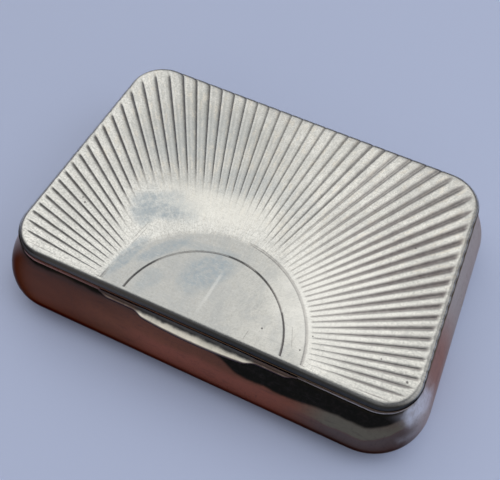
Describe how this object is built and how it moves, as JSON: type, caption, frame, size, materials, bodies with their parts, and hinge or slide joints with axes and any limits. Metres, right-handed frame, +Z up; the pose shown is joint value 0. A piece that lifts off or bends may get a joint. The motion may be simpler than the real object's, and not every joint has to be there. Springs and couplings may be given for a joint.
{
  "type": "snuff box",
  "caption": "Oblong hinged pocket box with rounded corners, bulging base, fluted sunburst lid and crescent thumb lip.",
  "frame": {"origin": "on the surface the box stands on, under the middle of the base", "axes": "+X along the hinge, to the right as seen from the thumb lip; +Y from the thumb lip to the hinge; +Z up"},
  "size_m": [0.0728, 0.0516, 0.0143],
  "materials": {
    "base_silver": "polished silver, tarnished and finely scratched",
    "lid_silver": "polished silver, worn satin on the high parts, tarnish in the flutes",
    "rim_silver": "polished silver, tarnished",
    "hinge_silver": "worn silver, tarnish in the gaps",
    "pin_silver": "dull silver wire"
  },
  "bodies": {
    "base": {"base_shell": "base_silver", "base_bezel": "base_silver", "base_joint_bearer": "hinge_silver", "base_knuckle_1": "hinge_silver", "base_knuckle_2": "hinge_silver", "base_knuckle_3": "hinge_silver", "base_knuckle_4": "hinge_silver", "hinge_pin": "pin_silver", "hinge_plug_left": "pin_silver", "hinge_plug_right": "pin_silver"},
    "lid": {"lid_plate": "lid_silver", "lid_rim": "rim_silver", "thumb_piece": "rim_silver", "lid_joint_bearer": "hinge_silver", "lid_knuckle_1": "hinge_silver", "lid_knuckle_2": "hinge_silver", "lid_knuckle_3": "hinge_silver"}
  },
  "joints": [
    {"name": "lid_hinge", "type": "hinge", "parent": "base", "child": "lid", "pos_m": [0, 0.0225, 0.0118], "axis": [-1, 0, 0], "range_deg": [0, 100]}
  ]
}
